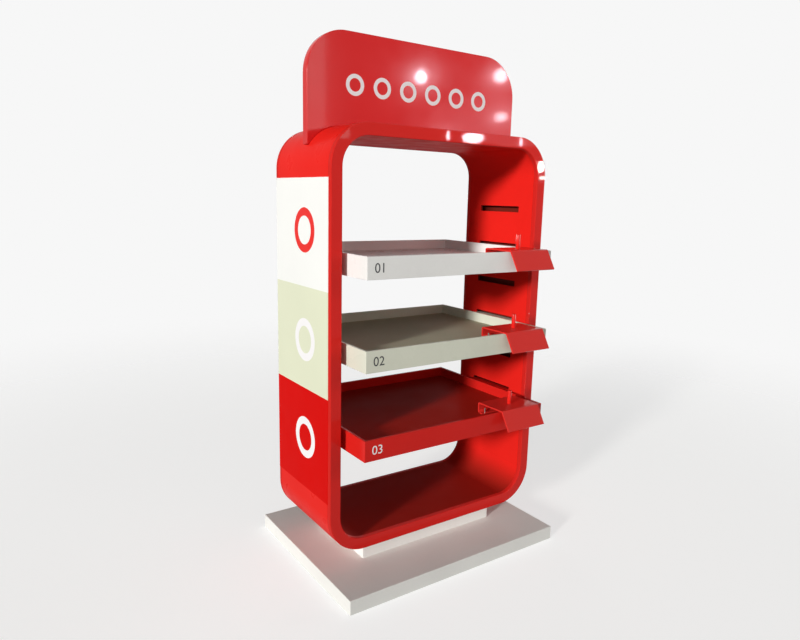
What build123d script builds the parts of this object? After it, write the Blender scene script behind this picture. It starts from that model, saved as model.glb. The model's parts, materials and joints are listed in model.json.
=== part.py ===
from build123d import *
import os

# Free-standing shop display: a base board and plinth carry an open ring with rounded corners.
# Three trays hang in slots in the ring's sides, and a header board stands on top of it.
# Millimetres. The origin is on the floor below the ring's centre, the front faces -Y, Z is up.

# Base and plinth
base_width = 904
base_depth = 680
base_thickness = 50
plinth_width = 578
plinth_depth = 290
plinth_height = 72
base_edge = 1.5

# Ring: two flat frames, an outer skin and an inner liner over ribs and blocks
ring_width = 895
ring_height = 1400
ring_depth = 395
ring_wall = 40
ring_radius = 135
ring_edge = 2
frame_thickness = 18
rib_thickness = 18
skin_thickness = 6
liner_thickness = 9

# Slots in the ring's sides
slot_length = 216
slot_height = 22
slot_corner = 3
slot_pitch = 143
slot_count = 6
lowest_slot_height = 419

# Header board
header_width = 870
header_rise = 295
header_reach = 100
header_radius = 140
header_thickness = 30
header_edge = 1.5
header_foot_radius = 5

# Printed side panels
graphic_thickness = 1
graphic_height = 1047
graphic_bottom = 186
graphic_front_margin = 15.5
graphic_back_margin = 3

# Trays
tray_side_gap = 21.5
tray_depth = 616
tray_height = 70
tray_wall = 9
tray_inside_depth = 36.5
tray_floor_thickness = 18
tray_slots = {"lower": 0, "middle": 2, "top": 4}

# Hanging lugs on the trays' sides
lug_thickness = 12
lug_height = 50
lug_below_rim = 2
lug_end_clearance = 1
lug_past_liner = 8

# Bent-sheet brackets over the trays' front walls
bracket_thickness = 5
bracket_width = 178
bracket_side_margin = 30
bracket_overhang = 10
bracket_plate_depth = 130
bracket_foot = 25
bracket_bend = 7
bracket_foot_bend = 12
flap_reach = 39
flap_drop = 66

# Pegs and fasteners
peg_diameter = 15
peg_height = 50
peg_setback = 59
screw_diameter = 6
screw_head_diameter = 11
screw_head_height = 4
screw_spacing = 140
screw_rise = 20
screw_from_foot_tip = 7
dowel_diameter = 10
dowel_length = 50
dowel_spacing = 250
dowel_count = 3
dowel_end_margin = 30
bolt_diameter = 10
bolt_head_diameter = 18
bolt_head_height = 8
bolt_head_clearance = 1
bolt_recess = 12
bolt_bite = 20
bolt_spacing = 400
bolt_count = 2
bolt_end_margin = 80
hole_clearance = 0.3

# Heights and faces that follow from the sizes above
ring_bottom = base_thickness + plinth_height
ring_top = ring_bottom + ring_height
ring_middle = ring_bottom + ring_height / 2
ring_front = -ring_depth / 2
inside_x = ring_width / 2 - ring_wall
core_depth = ring_depth - 2 * frame_thickness
block_depth = core_depth - 2 * rib_thickness
block_thickness = ring_wall - skin_thickness - liner_thickness
top_block_width = (dowel_count - 1) * dowel_spacing + 2 * dowel_end_margin
bottom_block_width = (bolt_count - 1) * bolt_spacing + 2 * bolt_end_margin
straight_height = ring_height - 2 * ring_radius
slot_bottom = ring_bottom + lowest_slot_height
slots_middle = slot_bottom + slot_height / 2 + (slot_count - 1) * slot_pitch / 2
tray_width = 2 * (inside_x - tray_side_gap)

os.makedirs("parts", exist_ok=True)


def save(piece, name):
    """Label a finished piece and write it as its own STEP file."""
    piece.part.label = name
    export_step(piece.part, f"parts/{name}.step")


def ring_plane(y):
    """Vertical plane at depth y, centred on the ring and seen from the front."""
    return Plane(origin=(0, y, ring_middle), x_dir=(1, 0, 0), z_dir=(0, -1, 0))


def ring_band(outer_inset, inner_inset):
    """Closed band between two insets of the ring's rounded outline."""
    for inset, mode in ((outer_inset, Mode.ADD), (inner_inset, Mode.SUBTRACT)):
        RectangleRounded(
            ring_width - 2 * inset,
            ring_height - 2 * inset,
            ring_radius - inset,
            mode=mode,
        )


# Base board, with recesses for the bolt heads underneath
with BuildPart() as base_board:
    with BuildSketch():
        Rectangle(base_width, base_depth)
    extrude(amount=base_thickness)
    chamfer(base_board.edges().filter_by(Axis.Z, reverse=True).group_by(Axis.Z)[-1], base_edge)
    chamfer(base_board.edges().filter_by(Axis.Z), base_edge)
    with Locations(base_board.faces().sort_by(Axis.Z)[0]):
        with GridLocations(bolt_spacing, 0, bolt_count, 1):
            CounterBoreHole(
                bolt_diameter / 2 + hole_clearance,
                bolt_head_diameter / 2 + bolt_head_clearance,
                bolt_recess,
            )
save(base_board, "base_board")

with BuildPart() as plinth_block:
    with BuildSketch(Plane.XY.offset(base_thickness)):
        Rectangle(plinth_width, plinth_depth)
        with GridLocations(bolt_spacing, 0, bolt_count, 1):
            Circle(bolt_diameter / 2 + hole_clearance, mode=Mode.SUBTRACT)
    extrude(amount=plinth_height)
save(plinth_block, "plinth_block")

# Bolts from under the base, through the plinth and into the ring's bottom block
bolt_top = ring_bottom + skin_thickness + bolt_bite
with BuildPart() as base_bolts:
    with BuildSketch(Plane.XY.offset(bolt_recess)):
        with GridLocations(bolt_spacing, 0, bolt_count, 1):
            RegularPolygon(bolt_head_diameter / 2, 6)
    extrude(amount=-bolt_head_height)
    with BuildSketch(Plane.XY.offset(bolt_recess)):
        with GridLocations(bolt_spacing, 0, bolt_count, 1):
            Circle(bolt_diameter / 2)
    extrude(amount=bolt_top - bolt_recess)
save(base_bolts, "base_bolts")

# Ring: front frame with eased edges, and its mirror image at the back
with BuildPart() as front_frame:
    with BuildSketch(ring_plane(ring_front)):
        ring_band(0, ring_wall)
    extrude(amount=-frame_thickness)
    chamfer(front_frame.faces().sort_by(Axis.Y)[0].edges(), ring_edge)
save(front_frame, "front_frame")

with BuildPart() as back_frame:
    mirror(front_frame.part, about=Plane.XZ)
save(back_frame, "back_frame")

# Ribs behind the frames, between skin and liner
with BuildPart() as front_rib:
    with BuildSketch(ring_plane(ring_front + frame_thickness)):
        ring_band(skin_thickness, ring_wall - liner_thickness)
    extrude(amount=-rib_thickness)
save(front_rib, "front_rib")

with BuildPart() as back_rib:
    mirror(front_rib.part, about=Plane.XZ)
save(back_rib, "back_rib")

# Outer skin, drilled for the base bolts below and the header's dowels above
with BuildPart() as outer_skin:
    with BuildSketch(ring_plane(ring_front + frame_thickness)):
        ring_band(0, skin_thickness)
    extrude(amount=-core_depth)
    with BuildSketch(Plane.XY.offset(ring_bottom)):
        with GridLocations(bolt_spacing, 0, bolt_count, 1):
            Circle(bolt_diameter / 2 + hole_clearance)
    extrude(amount=skin_thickness, mode=Mode.SUBTRACT)
    with BuildSketch(Plane.XY.offset(ring_top)):
        with GridLocations(dowel_spacing, 0, dowel_count, 1):
            Circle(dowel_diameter / 2 + hole_clearance)
    extrude(amount=-skin_thickness, mode=Mode.SUBTRACT)
save(outer_skin, "outer_skin")

# Side liners: flat panels with a ladder of slots
with BuildPart() as right_liner:
    with BuildSketch(Plane.YZ.offset(inside_x)):
        with Locations((0, ring_middle)):
            Rectangle(core_depth, straight_height)
        with Locations((0, slots_middle)):
            with GridLocations(0, slot_pitch, 1, slot_count):
                RectangleRounded(slot_length, slot_height, slot_corner, mode=Mode.SUBTRACT)
    extrude(amount=liner_thickness)
save(right_liner, "right_liner")

with BuildPart() as left_liner:
    mirror(right_liner.part, about=Plane.YZ)
save(left_liner, "left_liner")

# Top and bottom liners: bent panels that take in the rounded corners
with BuildPart() as top_liner:
    with BuildSketch(ring_plane(ring_front + frame_thickness)):
        ring_band(ring_wall - liner_thickness, ring_wall)
        with Locations((0, straight_height / 2)):
            Rectangle(ring_width, ring_radius, align=(Align.CENTER, Align.MIN), mode=Mode.INTERSECT)
    extrude(amount=-core_depth)
save(top_liner, "top_liner")

with BuildPart() as bottom_liner:
    mirror(top_liner.part, about=Plane.XY.offset(ring_middle))
save(bottom_liner, "bottom_liner")

# Blocks inside the ring that take the base bolts and the header's dowels
with BuildPart() as bottom_block:
    with BuildSketch(Plane.XY.offset(ring_bottom + skin_thickness)):
        Rectangle(bottom_block_width, block_depth)
        with GridLocations(bolt_spacing, 0, bolt_count, 1):
            Circle(bolt_diameter / 2 + hole_clearance, mode=Mode.SUBTRACT)
    extrude(amount=block_thickness)
save(bottom_block, "bottom_block")

with BuildPart() as top_block:
    with BuildSketch(Plane.XY.offset(ring_top - skin_thickness)):
        Rectangle(top_block_width, block_depth)
        with GridLocations(dowel_spacing, 0, dowel_count, 1):
            Circle(dowel_diameter / 2 + hole_clearance, mode=Mode.SUBTRACT)
    extrude(amount=-block_thickness)
save(top_block, "top_block")

# Header board: rounded top corners, a bottom edge that saddles the ring's shoulders, blunt feet
header_top = ring_height / 2 + header_rise
dowel_top = ring_top + dowel_length / 2
with BuildPart() as header_board:
    with BuildSketch(ring_plane(-header_thickness / 2)) as header_face:
        with Locations((0, header_top)):
            Rectangle(
                header_width,
                header_rise + header_reach,
                align=(Align.CENTER, Align.MAX),
            )
        fillet(header_face.vertices().group_by(Axis.Y)[-1], header_radius)
        RectangleRounded(ring_width, ring_height, ring_radius, mode=Mode.SUBTRACT)
        fillet(header_face.vertices().group_by(Axis.Y)[0], header_foot_radius)
    extrude(amount=-header_thickness)
    chamfer(header_board.faces().sort_by(Axis.Y)[0].edges(), header_edge)
    chamfer(header_board.faces().sort_by(Axis.Y)[-1].edges(), header_edge)
    with BuildSketch(Plane.XY.offset(ring_top)):
        with GridLocations(dowel_spacing, 0, dowel_count, 1):
            Circle(dowel_diameter / 2 + hole_clearance)
    extrude(amount=dowel_length / 2, mode=Mode.SUBTRACT)
save(header_board, "header_board")

with BuildPart() as header_dowels:
    with BuildSketch(Plane.XY.offset(dowel_top)):
        with GridLocations(dowel_spacing, 0, dowel_count, 1):
            Circle(dowel_diameter / 2)
    extrude(amount=-dowel_length)
save(header_dowels, "header_dowels")

# Printed panels on the ring's outer sides
graphic_depth = ring_depth - graphic_front_margin - graphic_back_margin
graphic_middle = ring_front + graphic_front_margin + graphic_depth / 2
with BuildPart() as right_graphic:
    with BuildSketch(Plane.YZ.offset(ring_width / 2)):
        with Locations((graphic_middle, ring_bottom + graphic_bottom)):
            Rectangle(graphic_depth, graphic_height, align=(Align.CENTER, Align.MIN))
    extrude(amount=graphic_thickness)
save(right_graphic, "right_graphic")

with BuildPart() as left_graphic:
    mirror(right_graphic.part, about=Plane.YZ)
save(left_graphic, "left_graphic")

# Bracket places that all three trays share
tray_front = -tray_depth / 2
bracket_x = tray_width / 2 - bracket_side_margin - bracket_width / 2
bracket_front = tray_front - bracket_overhang
bracket_back = bracket_front + bracket_plate_depth
foot_tip = bracket_back - bracket_foot
screw_y = foot_tip + screw_from_foot_tip
peg_y = bracket_front + peg_setback


def make_tray_boards(name, rim):
    """Mitred walls round a floor panel that is set above their lower edges."""
    half_width = tray_width / 2
    half_depth = tray_depth / 2
    floor_top = rim - tray_inside_depth

    with BuildPart() as front_wall:
        with BuildSketch(Plane.XY.offset(rim - tray_height)):
            with BuildLine():
                Polyline(
                    (-half_width, -half_depth),
                    (half_width, -half_depth),
                    (half_width - tray_wall, -half_depth + tray_wall),
                    (-half_width + tray_wall, -half_depth + tray_wall),
                    close=True,
                )
            make_face()
        extrude(amount=tray_height)
    save(front_wall, f"{name}_tray_front_wall")

    with BuildPart() as back_wall:
        mirror(front_wall.part, about=Plane.XZ)
    save(back_wall, f"{name}_tray_back_wall")

    with BuildPart() as right_wall:
        with BuildSketch(Plane.XY.offset(rim - tray_height)):
            with BuildLine():
                Polyline(
                    (half_width, -half_depth),
                    (half_width, half_depth),
                    (half_width - tray_wall, half_depth - tray_wall),
                    (half_width - tray_wall, -half_depth + tray_wall),
                    close=True,
                )
            make_face()
        extrude(amount=tray_height)
    save(right_wall, f"{name}_tray_right_wall")

    with BuildPart() as left_wall:
        mirror(right_wall.part, about=Plane.YZ)
    save(left_wall, f"{name}_tray_left_wall")

    with BuildPart() as floor_panel:
        with BuildSketch(Plane.XY.offset(floor_top)):
            Rectangle(tray_width - 2 * tray_wall, tray_depth - 2 * tray_wall)
            with Locations((bracket_x, screw_y)):
                with GridLocations(screw_spacing, 0, 2, 1):
                    Circle(screw_diameter / 2 + hole_clearance, mode=Mode.SUBTRACT)
        extrude(amount=-tray_floor_thickness)
    save(floor_panel, f"{name}_tray_floor")


def make_lugs(name, rim):
    """Angle-shaped lugs on the tray's sides, whose tongues rest in a pair of slots."""
    lug_top = rim - lug_below_rim
    side = tray_width / 2
    tongue_end = inside_x + liner_thickness + lug_past_liner
    lug_length = slot_length - 2 * (slot_corner + lug_end_clearance)

    with BuildPart() as right_lug:
        with BuildSketch(Plane.XZ.offset(-lug_length / 2)):
            with BuildLine():
                Polyline(
                    (side, lug_top),
                    (tongue_end, lug_top),
                    (tongue_end, lug_top - lug_thickness),
                    (side + lug_thickness, lug_top - lug_thickness),
                    (side + lug_thickness, lug_top - lug_height),
                    (side, lug_top - lug_height),
                    close=True,
                )
            make_face()
        extrude(amount=lug_length)
    save(right_lug, f"{name}_tray_right_lug")

    with BuildPart() as left_lug:
        mirror(right_lug.part, about=Plane.YZ)
    save(left_lug, f"{name}_tray_left_lug")


def make_bracket(name, rim):
    """Bent sheet over the front wall, its peg, and the screws that hold its foot."""
    floor_top = rim - tray_inside_depth
    plate_top = rim + bracket_thickness

    with BuildPart() as bracket:
        with BuildSketch(Plane.YZ.offset(bracket_x - bracket_width / 2)):
            with BuildLine():
                FilletPolyline(
                    (bracket_front - flap_reach, plate_top - flap_drop),
                    (bracket_front, plate_top),
                    (bracket_back, plate_top),
                    (bracket_back, floor_top),
                    (foot_tip, floor_top),
                    radius=[bracket_bend, bracket_bend, bracket_foot_bend],
                )
                offset(amount=bracket_thickness, side=Side.RIGHT)
            make_face()
        extrude(amount=bracket_width)
        with BuildSketch(Plane.XY.offset(floor_top)):
            with Locations((bracket_x, screw_y)):
                with GridLocations(screw_spacing, 0, 2, 1):
                    Circle(screw_diameter / 2 + hole_clearance)
        extrude(amount=bracket_thickness, mode=Mode.SUBTRACT)
    save(bracket, f"{name}_bracket")

    with BuildPart() as peg:
        with BuildSketch(Plane.XY.offset(plate_top)):
            with Locations((bracket_x, peg_y)):
                Circle(peg_diameter / 2)
        extrude(amount=peg_height)
    save(peg, f"{name}_peg")

    screw_seat = floor_top - tray_floor_thickness
    with BuildPart() as screws:
        with BuildSketch(Plane.XY.offset(screw_seat)):
            with Locations((bracket_x, screw_y)):
                with GridLocations(screw_spacing, 0, 2, 1):
                    Circle(screw_head_diameter / 2)
        extrude(amount=-screw_head_height)
        with BuildSketch(Plane.XY.offset(screw_seat)):
            with Locations((bracket_x, screw_y)):
                with GridLocations(screw_spacing, 0, 2, 1):
                    Circle(screw_diameter / 2)
        extrude(amount=tray_floor_thickness + screw_rise)
    save(screws, f"{name}_bracket_screws")


for tray_name, slot_index in tray_slots.items():
    tray_rim = slot_bottom + slot_index * slot_pitch + lug_thickness + lug_below_rim
    make_tray_boards(tray_name, tray_rim)
    make_lugs(tray_name, tray_rim)
    make_bracket(tray_name, tray_rim)
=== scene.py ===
"""Looks, light and camera of the display unit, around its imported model."""
import json
import math

import bmesh
import bpy
from mathutils import Matrix, Vector


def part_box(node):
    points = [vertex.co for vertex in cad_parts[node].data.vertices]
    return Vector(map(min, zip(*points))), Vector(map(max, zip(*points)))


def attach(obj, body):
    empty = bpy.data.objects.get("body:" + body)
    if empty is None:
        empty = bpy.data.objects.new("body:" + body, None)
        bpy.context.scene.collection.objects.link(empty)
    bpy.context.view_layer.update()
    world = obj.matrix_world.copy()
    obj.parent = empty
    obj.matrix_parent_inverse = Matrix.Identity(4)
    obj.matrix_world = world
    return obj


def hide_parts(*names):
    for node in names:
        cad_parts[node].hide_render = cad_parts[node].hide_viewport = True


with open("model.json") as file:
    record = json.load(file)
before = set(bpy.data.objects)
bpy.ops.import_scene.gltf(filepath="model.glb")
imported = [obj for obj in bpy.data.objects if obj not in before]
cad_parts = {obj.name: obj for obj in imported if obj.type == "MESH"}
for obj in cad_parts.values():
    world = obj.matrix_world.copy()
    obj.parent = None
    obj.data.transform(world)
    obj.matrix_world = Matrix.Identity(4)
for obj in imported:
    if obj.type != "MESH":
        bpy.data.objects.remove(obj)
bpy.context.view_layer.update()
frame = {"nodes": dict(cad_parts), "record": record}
nodes = frame["nodes"]
scene = bpy.context.scene
scene.view_settings.view_transform = "Standard"

# Camera, fitted to the photograph. Its focal length and centre are in pixels, its place in metres
YAW = math.radians(35.034)
PITCH = math.radians(-10.787)
ROLL = math.radians(1.45)
EYE = Vector((-1.384416, -1.946038, 1.298122))
IMAGE_WIDTH = 800
IMAGE_HEIGHT = 640
FOCAL_LENGTH = 653.515
CENTRE_COLUMN = 407.673
CENTRE_ROW = 322.852
SENSOR_WIDTH = 36
SIGHT_END = 100


def add_camera():
    """Camera that stands where the photographer's stood."""
    forward = Vector((math.sin(YAW) * math.cos(PITCH), math.cos(YAW) * math.cos(PITCH), math.sin(PITCH)))
    level = Vector((math.cos(YAW), -math.sin(YAW), 0))
    above = level.cross(forward)
    right = level * math.cos(ROLL) + above * math.sin(ROLL)
    up = above * math.cos(ROLL) - level * math.sin(ROLL)
    data = bpy.data.cameras.new("camera")
    data.sensor_width = SENSOR_WIDTH
    data.lens = SENSOR_WIDTH * FOCAL_LENGTH / IMAGE_WIDTH
    data.shift_x = (IMAGE_WIDTH / 2 - CENTRE_COLUMN) / IMAGE_WIDTH
    data.shift_y = (CENTRE_ROW - IMAGE_HEIGHT / 2) / IMAGE_WIDTH
    data.clip_end = SIGHT_END
    camera = bpy.data.objects.new("camera", data)
    turn = Matrix((right, up, -forward)).transposed()
    camera.matrix_world = Matrix.Translation(EYE) @ turn.to_4x4()
    scene.collection.objects.link(camera)
    scene.camera = camera


add_camera()

# Colours, linear
RED = (0.72, 0.017, 0.012)
HEADER_RED = (0.57, 0.015, 0.015)
# The frames' red is darker than the ring's other red: painted shade for forward faces, less lit than the
# ring's sides
SHADED_FRAME_RED = (0.565, 0.015, 0.011)
TRAY_RED = (0.64, 0.016, 0.012)
BRACKET_RED = (0.68, 0.028, 0.022)
WHITE = (0.81, 0.81, 0.79)
BASE_WHITE = (0.83, 0.83, 0.80)
CREAM = (0.67, 0.685, 0.575)
PRINT_RED = (0.60, 0.005, 0.004)
PRINT_CREAM = (0.68, 0.71, 0.54)
PRINT_WHITE = (0.82, 0.83, 0.81)
INK_WHITE = (0.84, 0.83, 0.84)
INK_GREY = (0.07, 0.07, 0.075)
WOOD = (0.55, 0.38, 0.22)
WOOD_DARK = (0.4125, 0.2736, 0.154)
STEEL = (0.74, 0.74, 0.71)

# Deeper colours: painted shade and painted dark reflection on floors, which reflect a dark room in the
# photograph
CREAM_SHADE = (0.42, 0.40, 0.295)
RED_SHADE = (0.42, 0.018, 0.011)
LINER_SHADE = (0.34, 0.016, 0.010)
# Painted shade on the slots' edges, and on the skin's side that faces the ring's hollow
SLOT_EDGE_SHADE = (0.20, 0.012, 0.008)
HOLLOW_SHADE = (0.16, 0.016, 0.010)

# Indices of refraction, lower than real paint has, to hold back reflections of the pale studio
PAINT_IOR = 1.2
LINER_IOR = 1.04
FLOOR_IOR = 1.03
BASE_IOR = 1.06
ACRYLIC_IOR = 1.24

# Roughness, and how far it varies about its value
PAINT_ROUGHNESS = 0.26
LINER_ROUGHNESS = 0.45
FLOOR_ROUGHNESS = 0.35
INK_ROUGHNESS = 0.4
FACE_ROUGHNESS = 0.035
EDGE_ROUGHNESS = 0.6
COAT_ROUGHNESS = 0.05
GLOSS_LOW = 0.85
GLOSS_HIGH = 1.2

# Noise: its scales per metre, its levels of detail, and the middle part of it that is used
CLOUD_SCALE = 3.0
GLOSS_SCALE = 14.0
GRAIN_SCALE = 120.0
PEEL_SCALE = 240.0
ROUGH_DETAIL = 3.0
FINE_DETAIL = 2.0
NOISE_LOW = 0.3
NOISE_HIGH = 0.7

# How far a colour varies, and the shares of that for the clouds' bright side and for the grain
SPREAD = 0.05
CLOUD_RISE = 0.4
GRAIN_SHARE = 0.15

# Relief of the paint: its depth in metres, and how strongly it shows
PEEL_DEPTH = 0.0001
PAINT_PEEL = 0.05
FRAME_PEEL = 0.03
BOARD_PEEL = 0.02

# The Mix node's sockets that hold colours
MIX_LOW = 6
MIX_HIGH = 7
MIX_RESULT = 2


def feed(tree, source, socket):
    """Links a socket to an output, or gives it a plain value."""
    if isinstance(source, bpy.types.NodeSocket):
        tree.links.new(source, socket)
    else:
        socket.default_value = source


def wire(tree, kind, sources=None, **settings):
    """The outputs of a new node, whose inputs are fed by outputs or by plain values."""
    made = tree.nodes.new(kind)
    for key, value in settings.items():
        setattr(made, key, value)
    for key, source in (sources or {}).items():
        feed(tree, source, made.inputs[key])
    return made.outputs


def remap(tree, value, start, end, low=0.0, high=1.0, kind="LINEAR"):
    """Goes from low to high while a value goes from start to end."""
    limits = {"Value": value, "From Min": start, "From Max": end, "To Min": low, "To Max": high}
    return wire(tree, "ShaderNodeMapRange", limits, interpolation_type=kind)["Result"]


def calculate(tree, operation, *sources):
    """A number worked out from one or two others."""
    return wire(tree, "ShaderNodeMath", dict(enumerate(sources)), operation=operation)["Value"]


def dot_product(tree, first, second):
    """How far two directions agree."""
    return wire(tree, "ShaderNodeVectorMath", {0: first, 1: second}, operation="DOT_PRODUCT")["Value"]


class Finish:
    """A material in the making: its shader's inputs and the nodes that feed them."""

    def __init__(self, name, ior=PAINT_IOR, metallic=0.0, coat=0.0):
        self.material = bpy.data.materials.new(name)
        self.material.use_nodes = True
        self.tree = self.material.node_tree
        self.inputs = self.tree.nodes["Principled BSDF"].inputs
        self.inputs["Metallic"].default_value = metallic
        self.inputs["Coat Weight"].default_value = coat
        self.inputs["Coat Roughness"].default_value = COAT_ROUGHNESS
        if not metallic:
            self.inputs["IOR"].default_value = ior
        self.place = wire(self.tree, "ShaderNodeTexCoord")["Object"]

    def noise(self, scale, detail):
        """Noise in the object's own space."""
        sources = {"Vector": self.place, "Scale": scale, "Detail": detail}
        return wire(self.tree, "ShaderNodeTexNoise", sources)["Fac"]

    def cloud(self, scale, low, high, detail=ROUGH_DETAIL):
        """Noise between two values."""
        return remap(self.tree, self.noise(scale, detail), NOISE_LOW, NOISE_HIGH, low, high)

    def gloss(self, roughness):
        """Gives the surface a slightly uneven roughness."""
        cloud = self.cloud(GLOSS_SCALE, roughness * GLOSS_LOW, roughness * GLOSS_HIGH)
        feed(self.tree, cloud, self.inputs["Roughness"])

    def colour(self, source, spread=SPREAD):
        """Gives a colour that varies in slow clouds and a fine grain, as sprayed paint does."""
        clouds = self.cloud(CLOUD_SCALE, 1 - spread, 1 + spread * CLOUD_RISE)
        grain = self.cloud(GRAIN_SCALE, 1 - spread * GRAIN_SHARE, 1.0, FINE_DETAIL)
        level = calculate(self.tree, "MULTIPLY", clouds, grain)
        shaded = wire(self.tree, "ShaderNodeVectorMath", {0: source, "Scale": level}, operation="SCALE")
        feed(self.tree, shaded["Vector"], self.inputs["Base Color"])

    def relief(self, scale, strength, depth=PEEL_DEPTH):
        """Gives the surface fine bumps."""
        sources = {"Height": self.noise(scale, FINE_DETAIL), "Strength": strength, "Distance": depth}
        feed(self.tree, wire(self.tree, "ShaderNodeBump", sources)["Normal"], self.inputs["Normal"])

    def normal(self):
        """The way a face looks."""
        return wire(self.tree, "ShaderNodeNewGeometry")["True Normal"]

    def squareness(self, axis):
        """1 on a face that looks straight along an axis, either way, and 0 on one that lies along it."""
        return calculate(self.tree, "ABSOLUTE", dot_product(self.tree, self.normal(), axis))

    def height(self):
        """Height above the floor in metres."""
        return wire(self.tree, "ShaderNodeSeparateXYZ", {0: self.place})["Z"]

    def blend(self, factor, low, high):
        """A colour between two, by a factor from 0 to 1."""
        sources = {0: factor, MIX_LOW: (*low, 1), MIX_HIGH: (*high, 1)}
        return wire(self.tree, "ShaderNodeMix", sources, data_type="RGBA")[MIX_RESULT]


def lacquer(name, colour, roughness=PAINT_ROUGHNESS, ior=PAINT_IOR, coat=0.0, peel=PAINT_PEEL):
    """Sprayed paint with a faint orange peel."""
    finish = Finish(name, ior, coat=coat)
    finish.gloss(roughness)
    finish.colour(colour)
    finish.relief(PEEL_SCALE, peel)
    return finish.material


def face_lacquer(name, colour, edge_until=0.2, face_from=0.5):
    """Gloss on the faces that look forward or back, and duller cut edges between them."""
    finish = Finish(name)
    square = finish.squareness((0, 1, 0))
    roughness = remap(finish.tree, square, edge_until, face_from, EDGE_ROUGHNESS, FACE_ROUGHNESS)
    feed(finish.tree, roughness, finish.inputs["Roughness"])
    finish.colour(colour)
    finish.relief(PEEL_SCALE, FRAME_PEEL)
    return finish.material


def slotted_board(name, colour, face_from=0.5):
    """Painted side panel, whose slots' edges carry a painted shade, darker than its faces."""
    finish = Finish(name, LINER_IOR)
    finish.gloss(LINER_ROUGHNESS)
    # Faces that look along X keep the paint's colour, and the slots' edges get the painted shade
    true_colour_faces = calculate(finish.tree, "GREATER_THAN", finish.squareness((1, 0, 0)), face_from)
    finish.colour(finish.blend(true_colour_faces, SLOT_EDGE_SHADE, colour))
    finish.relief(PEEL_SCALE, BOARD_PEEL)
    return finish.material


def painted_shade_floor(name, colour, shade):
    """Painted shade and painted dark reflection, deepest on the flat floor, and the plain colour up the
    bent ends.
    """
    finish = Finish(name, LINER_IOR)
    finish.gloss(LINER_ROUGHNESS)
    low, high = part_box("bottom_liner")
    # The painted shade fades out with height above the flat floor
    rise = remap(finish.tree, finish.height(), low.z, high.z, kind="SMOOTHSTEP")
    finish.colour(finish.blend(rise, shade, colour))
    finish.relief(PEEL_SCALE, BOARD_PEEL)
    return finish.material


def bent_skin(name, colour):
    """Painted outside, with a dark painted shade on the side that faces the ring's hollow wall."""
    finish = Finish(name, ior=1.08)
    finish.gloss(roughness=0.3)
    low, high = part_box("outer_skin")
    sources = {0: finish.place, 1: (low + high) / 2}
    outward = wire(finish.tree, "ShaderNodeVectorMath", sources, operation="SUBTRACT")["Vector"]
    facing = dot_product(finish.tree, outward, finish.normal())
    # Faces that look outward keep the paint's colour, and the inner side gets the painted shade
    true_colour_faces = calculate(finish.tree, "GREATER_THAN", facing, 0.0)
    finish.colour(finish.blend(true_colour_faces, HOLLOW_SHADE, colour))
    finish.relief(PEEL_SCALE, BOARD_PEEL)
    return finish.material


def acrylic(name, colour, ior=ACRYLIC_IOR):
    """Smooth plastic, a little wavy."""
    finish = Finish(name, ior)
    finish.gloss(roughness=0.14)
    finish.colour(colour, spread=0.03)
    finish.relief(scale=60.0, strength=0.05, depth=0.0004)
    return finish.material


def plywood(name):
    """Raw board with dark and pale grain."""
    finish = Finish(name)
    finish.gloss(roughness=0.6)
    sources = {"Vector": finish.place, "Scale": 18.0, "Distortion": 3.0, "Detail": ROUGH_DETAIL}
    grain = wire(finish.tree, "ShaderNodeTexWave", sources)["Fac"]
    ramp = finish.tree.nodes.new("ShaderNodeValToRGB")
    for stop, colour in zip(ramp.color_ramp.elements, (WOOD_DARK, WOOD)):
        stop.color = (*colour, 1)
    feed(finish.tree, grain, ramp.inputs["Fac"])
    feed(finish.tree, ramp.outputs["Color"], finish.inputs["Base Color"])
    finish.relief(scale=90.0, strength=0.25, depth=0.0004)
    return finish.material


def plated(name):
    """Bright plated steel."""
    finish = Finish(name, metallic=1.0)
    finish.gloss(roughness=0.28)
    finish.colour(STEEL, spread=0.08)
    finish.relief(scale=700.0, strength=0.2)
    return finish.material


def banded_print(name, cream_from=0.662, white_from=1.001, ramp_reach=2.0):
    """Printed panel: red, then cream, then white, each from a height in metres."""
    finish = Finish(name, ior=1.05)
    finish.gloss(roughness=0.36)
    ramp = finish.tree.nodes.new("ShaderNodeValToRGB")
    ramp.color_ramp.interpolation = "CONSTANT"
    ramp.color_ramp.elements[0].color = (*PRINT_RED, 1)
    ramp.color_ramp.elements[1].position = cream_from / ramp_reach
    ramp.color_ramp.elements[1].color = (*PRINT_CREAM, 1)
    ramp.color_ramp.elements.new(white_from / ramp_reach).color = (*PRINT_WHITE, 1)
    share = calculate(finish.tree, "MULTIPLY", finish.height(), 1 / ramp_reach)
    feed(finish.tree, share, ramp.inputs["Fac"])
    finish.colour(ramp.outputs["Color"], spread=0.03)
    finish.relief(scale=500.0, strength=0.06)
    return finish.material


# Finish of each material slot in the record
SLOT_FINISH = {
    "ring_red": face_lacquer("ring_lacquer", SHADED_FRAME_RED),
    "header_red": lacquer("header_lacquer", HEADER_RED, roughness=0.15, ior=1.18, coat=0.1),
    "tray_white": lacquer("white_tray_lacquer", WHITE),
    "tray_cream": lacquer("cream_tray_lacquer", CREAM),
    "tray_red": lacquer("red_tray_lacquer", TRAY_RED, roughness=0.2),
    "base_white": lacquer("base_satin", BASE_WHITE, roughness=0.3, ior=BASE_IOR),
    "plinth_white": lacquer("plinth_satin", BASE_WHITE, roughness=0.35, ior=BASE_IOR),
    "bracket_red": acrylic("bracket_sheet", BRACKET_RED),
    "peg_red": acrylic("peg_rod", RED, ior=1.3),
    "raw_wood": plywood("raw_board"),
    "zinc_steel": plated("plated_steel"),
    "print_panel": banded_print("panel_print"),
}

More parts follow.
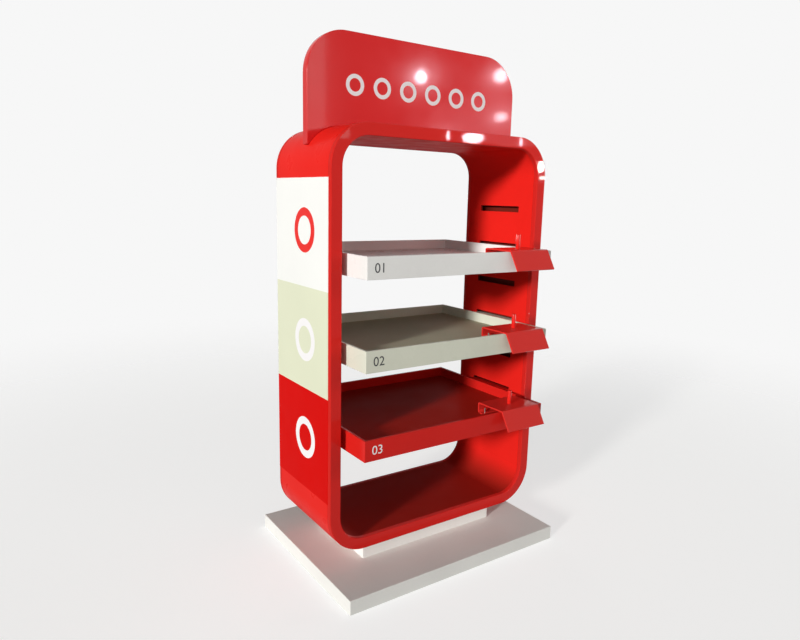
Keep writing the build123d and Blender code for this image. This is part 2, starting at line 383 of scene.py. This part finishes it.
# Finish of nodes that differ from the rest of their slot
WHITE_FLOOR = lacquer("white_floor_lacquer", WHITE, roughness=0.3, ior=1.1, peel=BOARD_PEEL)
# The middle and lower tray floors carry painted shade and painted dark reflection, deeper than their walls
CREAM_FLOOR = lacquer("cream_floor_lacquer", CREAM_SHADE, FLOOR_ROUGHNESS, FLOOR_IOR, peel=BOARD_PEEL)
RED_FLOOR = lacquer("red_floor_lacquer", RED_SHADE, FLOOR_ROUGHNESS, FLOOR_IOR, peel=BOARD_PEEL)
SLOTTED_SIDE = slotted_board("slotted_lacquer", RED)
NODE_FINISH = {
    "top_tray_floor": WHITE_FLOOR,
    "middle_tray_floor": CREAM_FLOOR,
    "lower_tray_floor": RED_FLOOR,
    "top_liner": lacquer("liner_lacquer", RED, LINER_ROUGHNESS, LINER_IOR, peel=BOARD_PEEL),
    "bottom_liner": painted_shade_floor("floor_board_lacquer", RED, LINER_SHADE),
    "left_liner": SLOTTED_SIDE,
    "right_liner": SLOTTED_SIDE,
    "outer_skin": bent_skin("skin_lacquer", RED),
}

INK = {
    "white": lacquer("white_ink", INK_WHITE, INK_ROUGHNESS),
    "red": lacquer("red_ink", RED, INK_ROUGHNESS),
    "grey": lacquer("grey_ink", INK_GREY, INK_ROUGHNESS),
}


def dress(obj, material):
    """Gives an object one material."""
    obj.data.materials.clear()
    obj.data.materials.append(material)


for row in frame["record"]["subparts"]:
    dress(nodes[row["node"]], SLOT_FINISH[row["material_slot"]])
for name, material in NODE_FINISH.items():
    dress(nodes[name], material)

# Rounding of sharp edges in metres, by how a node's name ends
ROUNDING = {
    ("_bracket", "_lug", "_peg"): 0.0006,
    ("plinth_block",): 0.0012,
    ("left_liner", "right_liner"): 0.0004,
    ("front_frame", "back_frame"): 0.0007,
    ("header_board",): 0.0009,
}
ROUNDING_STEPS = 2
SHARP_ANGLE = math.radians(30)
WELD_REACH = 0.00001


def soften(obj, width):
    """Rounds a CAD node's sharp edges by modifiers alone."""
    weld = obj.modifiers.new("weld", "WELD")
    weld.merge_threshold = WELD_REACH
    bevel = obj.modifiers.new("bevel", "BEVEL")
    bevel.width = width
    bevel.segments = ROUNDING_STEPS
    bevel.limit_method = "ANGLE"
    bevel.angle_limit = SHARP_ANGLE
    bevel.harden_normals = False


for endings, width in ROUNDING.items():
    for name, obj in nodes.items():
        if name.endswith(endings):
            soften(obj, width)


def link(name, mesh, material):
    """Puts a mesh into the scene as an object."""
    obj = bpy.data.objects.new(name, mesh)
    scene.collection.objects.link(obj)
    dress(obj, material)
    return obj


def join_loops(loops):
    """A closed form through loops of points, from each to the next and from the last to the first."""
    bm = bmesh.new()
    rows = [[bm.verts.new(point) for point in loop] for loop in loops]
    for row, following in zip(rows, rows[1:] + rows[:1]):
        for i in range(len(row)):
            j = (i + 1) % len(row)
            bm.faces.new((row[i], row[j], following[j], following[i]))
    bmesh.ops.recalc_face_normals(bm, faces=bm.faces)
    return bm


def to_mesh(name, bm):
    """Turns a form into a mesh."""
    mesh = bpy.data.meshes.new(name)
    bm.to_mesh(mesh)
    bm.free()
    return mesh


# Tray walls, one glued and painted frame per tray
TRAY_SLOT = {"top": "tray_white", "middle": "tray_cream", "lower": "tray_red"}
TRAY_ROUNDING = 0.0012
TRAY_ROUNDING_STEPS = 3


def tray_frame(tray):
    """One frame with rounded edges in place of a tray's four walls."""
    name = f"{tray}_tray_frame"
    walls = [f"{tray}_tray_{side}_wall" for side in ("front", "back", "left", "right")]
    lows, highs = zip(*(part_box(wall) for wall in walls))
    low = Vector([min(values) for values in zip(*lows)])
    high = Vector([max(values) for values in zip(*highs)])
    thickness = highs[0].y - lows[0].y
    loops = []
    for inset, z in ((0, low.z), (0, high.z), (thickness, high.z), (thickness, low.z)):
        left = low.x + inset
        right = high.x - inset
        front = low.y + inset
        back = high.y - inset
        loops.append([(left, front, z), (right, front, z), (right, back, z), (left, back, z)])
    bm = join_loops(loops)
    bmesh.ops.bevel(
        bm,
        geom=list(bm.edges),
        offset=TRAY_ROUNDING,
        segments=TRAY_ROUNDING_STEPS,
        profile=0.5,
        affect="EDGES",
        clamp_overlap=True,
    )
    for face in bm.faces:
        face.smooth = True
    obj = link(name, to_mesh(name, bm), SLOT_FINISH[TRAY_SLOT[tray]])
    obj.modifiers.new("normals", "WEIGHTED_NORMAL").keep_sharp = False
    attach(obj, "root")
    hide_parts(*walls)


for tray in TRAY_SLOT:
    tray_frame(tray)

# Ink: its depth in metres, how far it sits in the board, and the steps round a ring
INK_DEPTH = 0.00025
INK_SEAT = 0.00005
RING_STEPS = 64

# Rings on the header
HEADER_RING_COUNT = 6
HEADER_RING_PITCH = 0.105
HEADER_RING_HEIGHT = 1.655
HEADER_RING_RADIUS = 0.034
HEADER_RING_HOLE = 0.021

# Rings on the side panels, each with its height and its ink
PANEL_RINGS = ((1.19, "red"), (0.83, "white"), (0.49, "white"))
PANEL_RING_Y = -0.02
PANEL_RING_RADIUS = 0.072
PANEL_RING_HOLE = 0.046

# Shelf numbers, placed from the left end and the top of a tray's front
SHELF_NUMBERS = (("01", "top", "grey"), ("02", "middle", "grey"), ("03", "lower", "white"))
NUMBER_INSET = 0.026
NUMBER_DROP = 0.036
NUMBER_SIZE = 0.042


def ink_ring(name, centre, radius, hole, outward, material):
    """A thin ring of ink whose face looks outward."""
    turn = outward.to_track_quat("Z", "Y").to_matrix()
    loops = []
    for reach, z in ((radius, 0), (radius, INK_DEPTH), (hole, INK_DEPTH), (hole, 0)):
        loop = []
        for i in range(RING_STEPS):
            angle = 2 * math.pi * i / RING_STEPS
            loop.append(centre + turn @ Vector((reach * math.cos(angle), reach * math.sin(angle), z)))
        loops.append(loop)
    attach(link(name, to_mesh(name, join_loops(loops)), material), "root")


def shelf_number(name, text, place, material):
    """A plain number on a tray's front, facing forward."""
    curve = bpy.data.curves.new(name, "FONT")
    curve.body = text
    curve.size = NUMBER_SIZE
    curve.extrude = INK_DEPTH / 2
    curve.align_y = "CENTER"
    letter = bpy.data.objects.new(name + "_text", curve)
    letter.matrix_world = Matrix.Translation(place) @ Matrix.Rotation(math.radians(90), 4, "X")
    scene.collection.objects.link(letter)
    bpy.context.view_layer.update()
    mesh = bpy.data.meshes.new_from_object(letter.evaluated_get(bpy.context.evaluated_depsgraph_get()))
    mesh.transform(letter.matrix_world)
    bpy.data.objects.remove(letter)
    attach(link(name, mesh, material), "root")


header_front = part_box("header_board")[0].y
forward = Vector((0, -1, 0))
for i in range(HEADER_RING_COUNT):
    x = HEADER_RING_PITCH * (i - (HEADER_RING_COUNT - 1) / 2)
    centre = Vector((x, header_front + INK_SEAT, HEADER_RING_HEIGHT))
    ink_ring(f"header_ring_{i + 1}", centre, HEADER_RING_RADIUS, HEADER_RING_HOLE, forward, INK["white"])

for number, tray, ink in SHELF_NUMBERS:
    low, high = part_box(f"{tray}_tray_front_wall")
    place = Vector((low.x + NUMBER_INSET, low.y - INK_DEPTH / 2, high.z - NUMBER_DROP))
    shelf_number(f"{tray}_tray_number", number, place, INK[ink])

for side, sign in (("left", -1), ("right", 1)):
    low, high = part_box(f"{side}_graphic")
    face = low.x if sign < 0 else high.x
    outward = Vector((sign, 0, 0))
    for i, (height, ink) in enumerate(PANEL_RINGS):
        centre = Vector((face - sign * INK_SEAT, PANEL_RING_Y, height))
        name = f"{side}_panel_ring_{i + 1}"
        ink_ring(name, centre, PANEL_RING_RADIUS, PANEL_RING_HOLE, outward, INK[ink])

# Floor, which glows only where it is seen, and fades out far from the object
FLOOR_REACH = 40
FLOOR_COLOUR = (0.42, 0.42, 0.41, 1)
FLOOR_GLOW = 0.66
FADE_START = 1.2
FADE_END = 5.0

# Background as it is seen, and the soft fill, strongest from the front, a little left and low
PURE_WHITE = (1, 1, 1, 1)
BACKGROUND_LEVEL = 0.93
FILL_COLOUR = (1.0, 0.98, 0.96, 1)
FILL_SIDE = Vector((-0.33, -0.83, -0.45)).normalized()
FILL_START = -0.3
FILL_END = 0.9
FILL_BEHIND = 0.03
FILL_FRONT = 0.62


def seen_share(tree):
    """1 for what is seen straight, through something clear or as a reflection, 0 for soft light."""
    path = wire(tree, "ShaderNodeLightPath")
    direct = calculate(tree, "MAXIMUM", path["Is Camera Ray"], path["Is Transmission Ray"])
    return calculate(tree, "MAXIMUM", direct, path["Is Glossy Ray"])


def floor_paper():
    """Pale matt paper."""
    material = bpy.data.materials.new("floor_paper")
    material.use_nodes = True
    tree = material.node_tree
    tree.nodes.clear()
    matt = wire(tree, "ShaderNodeBsdfDiffuse", {"Color": FLOOR_COLOUR})[0]
    strength = calculate(tree, "MULTIPLY", seen_share(tree), FLOOR_GLOW)
    glow = wire(tree, "ShaderNodeEmission", {"Color": PURE_WHITE, "Strength": strength})[0]
    paper = wire(tree, "ShaderNodeAddShader", {0: matt, 1: glow})[0]
    place = wire(tree, "ShaderNodeTexCoord")["Object"]
    away = wire(tree, "ShaderNodeVectorMath", {0: place}, operation="LENGTH")["Value"]
    fade = remap(tree, away, FADE_START, FADE_END, kind="SMOOTHSTEP")
    clear = wire(tree, "ShaderNodeBsdfTransparent")[0]
    blend = wire(tree, "ShaderNodeMixShader", {0: fade, 1: paper, 2: clear})[0]
    wire(tree, "ShaderNodeOutputMaterial", {"Surface": blend})
    return material


def add_floor():
    """Flat floor under the object."""
    signs = ((-1, -1), (1, -1), (1, 1), (-1, 1))
    corners = [(FLOOR_REACH * x, FLOOR_REACH * y, 0) for x, y in signs]
    mesh = bpy.data.meshes.new("floor")
    mesh.from_pydata(corners, [], [(0, 1, 2, 3)])
    link("floor", mesh, floor_paper())


def add_world():
    """Pale background, and the soft fill on the object."""
    world = bpy.data.worlds.new("studio")
    world.use_nodes = True
    tree = world.node_tree
    tree.nodes.clear()
    shown = wire(tree, "ShaderNodeBackground", {"Color": PURE_WHITE, "Strength": BACKGROUND_LEVEL})[0]
    sky = wire(tree, "ShaderNodeTexCoord")["Generated"]
    facing = dot_product(tree, sky, FILL_SIDE)
    amount = remap(tree, facing, FILL_START, FILL_END, FILL_BEHIND, FILL_FRONT, kind="SMOOTHSTEP")
    fill = wire(tree, "ShaderNodeBackground", {"Color": FILL_COLOUR, "Strength": amount})[0]
    mix = wire(tree, "ShaderNodeMixShader", {0: seen_share(tree), 1: fill, 2: shown})[0]
    wire(tree, "ShaderNodeOutputWorld", {"Surface": mix})
    scene.world = world


add_floor()
add_world()

# Suns, each with the way its light goes, its strength, its width in degrees and its colour
NEUTRAL_LIGHT = (1, 1, 1)
KEY_LIGHT = (1.0, 0.985, 0.96)
SUNS = {
    "back_fill": ((-0.25, -0.97, -0.03), 1.25, 20, NEUTRAL_LIGHT),
    "side_fill": ((-0.985, 0.16, -0.05), 1.0, 30, NEUTRAL_LIGHT),
    "key": ((0.938, 0.345, -0.21), 3.3, 7, KEY_LIGHT),
}

# Oval lamps. The front of a board mirrors each to a column and row of the photograph
PINK_LIGHT = (1.0, 0.88, 0.98)
WARM_LIGHT = (1.0, 0.97, 0.88)
OVAL_LAMPS = (
    dict(column=421, row=77, board="header_board", watts=7, width=0.09, height=0.10, colour=PINK_LIGHT),
    dict(column=501, row=76, board="header_board", watts=5, width=0.11, height=0.10, colour=PINK_LIGHT),
    dict(column=501, row=117, board="header_board", watts=2.6, width=0.09, height=0.07, colour=PINK_LIGHT),
    dict(column=473, row=138, board="front_frame", watts=4, width=0.17, height=0.08, colour=PINK_LIGHT),
    dict(column=448, row=136, board="front_frame", watts=0.5, width=0.02, height=0.07, colour=PINK_LIGHT),
    dict(column=521, row=142, board="front_frame", watts=0.4, width=0.02, height=0.07, colour=PINK_LIGHT),
    dict(column=541, row=167, board="front_frame", watts=2.5, width=0.05, height=0.09, colour=WARM_LIGHT),
    dict(column=543, row=178, board="front_frame", watts=0.5, width=0.05, height=0.02, colour=WARM_LIGHT),
    dict(column=487, row=122, board="header_board", watts=3, width=0.95, height=0.42, colour=PINK_LIGHT),
)
OVAL_DIFFUSE = 0.1
OVAL_TARGET = Vector((0, 0, 1.6))

# Upright lamp for the long highlight near the header's left end. It is aimed level
STRIP_LAMP = dict(column=314, row=85, board="header_board", watts=2.9, width=0.17, height=0.8)
STRIP_DIFFUSE = 0.05
STRIP_TARGET_X = -0.35
LAMP_DISTANCE = 3.0

glossy_boards = bpy.data.collections.new("glossy_faces")
for name in ("header_board", "front_frame"):
    glossy_boards.objects.link(nodes[name])


def aim(lamp, direction):
    """Turns a lamp so that its light goes in a direction."""
    lamp.rotation_euler = direction.to_track_quat("-Z", "Y").to_euler()


def add_sun(name, direction, strength, angle, colour):
    """Light from far away."""
    data = bpy.data.lights.new(name, "SUN")
    data.energy = strength
    data.angle = math.radians(angle)
    data.color = colour
    lamp = bpy.data.objects.new(name, data)
    aim(lamp, Vector(direction))
    scene.collection.objects.link(lamp)


def mirrored_place(column, row, board):
    """Where a lamp stands that the front of a board mirrors to a pixel of the photograph."""
    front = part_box(board)[0].y
    across = (column - CENTRE_COLUMN) / FOCAL_LENGTH
    down = (row - CENTRE_ROW) / FOCAL_LENGTH
    ray = scene.camera.matrix_world.to_3x3() @ Vector((across, -down, -1))
    hit = EYE + ray * ((front - EYE.y) / ray.y)
    ray.y = -ray.y
    return hit + ray.normalized() * LAMP_DISTANCE


def add_lamp(name, shape, column, row, board, watts, width, height, diffuse, colour=NEUTRAL_LIGHT):
    """Lamp that lights only the header and the front frame, for their highlights."""
    data = bpy.data.lights.new(name, "AREA")
    data.shape = shape
    data.size = width
    data.size_y = height
    data.energy = watts
    data.diffuse_factor = diffuse
    data.color = colour
    lamp = bpy.data.objects.new(name, data)
    lamp.light_linking.receiver_collection = glossy_boards
    lamp.location = mirrored_place(column, row, board)
    lamp.visible_camera = False
    scene.collection.objects.link(lamp)
    return lamp


for name, (direction, strength, angle, colour) in SUNS.items():
    add_sun(name, direction, strength, angle, colour)
for i, settings in enumerate(OVAL_LAMPS):
    oval = add_lamp(f"spot_{i + 1}", "ELLIPSE", diffuse=OVAL_DIFFUSE, **settings)
    aim(oval, OVAL_TARGET - oval.location)
strip = add_lamp("strip", "RECTANGLE", diffuse=STRIP_DIFFUSE, **STRIP_LAMP)
aim(strip, Vector((STRIP_TARGET_X, 0, strip.location.z)) - strip.location)
